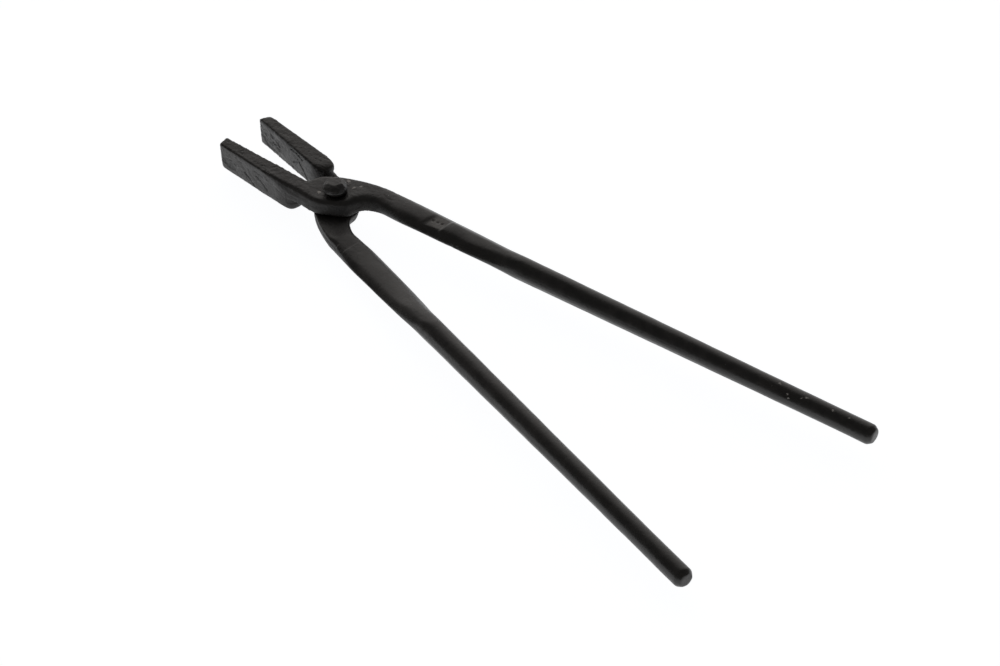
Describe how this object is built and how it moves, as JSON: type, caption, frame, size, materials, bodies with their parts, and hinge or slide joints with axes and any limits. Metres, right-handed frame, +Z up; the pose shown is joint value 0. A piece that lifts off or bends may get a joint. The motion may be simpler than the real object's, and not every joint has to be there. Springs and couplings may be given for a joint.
{
  "type": "forging tongs",
  "caption": "Long flat-jaw tongs of black forged steel: crossed halves with round tapering reins, turning on a rivet, to grip hot work.",
  "frame": {"origin": "centre of the flat underside of the rivet's peened head, on the hinge axis", "axes": "+Z up along the rivet, +X from the rivet towards the rein ends midway between the reins, jaws towards -X"},
  "size_m": [0.4003, 0.1416, 0.0269],
  "materials": {
    "forged_steel": "drop forged, black oxide scale with a thin glossy oil film",
    "rivet_steel": "hammered black, slightly rough"
  },
  "bodies": {
    "lower": {"lower_half": "forged_steel", "rivet": "rivet_steel"},
    "upper": {"upper_half": "forged_steel"}
  },
  "joints": [
    {"name": "rivet_joint", "type": "hinge", "parent": "lower", "child": "upper", "pos_m": [0, 0, 0.0122], "axis": [0, 0, 1], "range_deg": [-16.4, 84]}
  ]
}
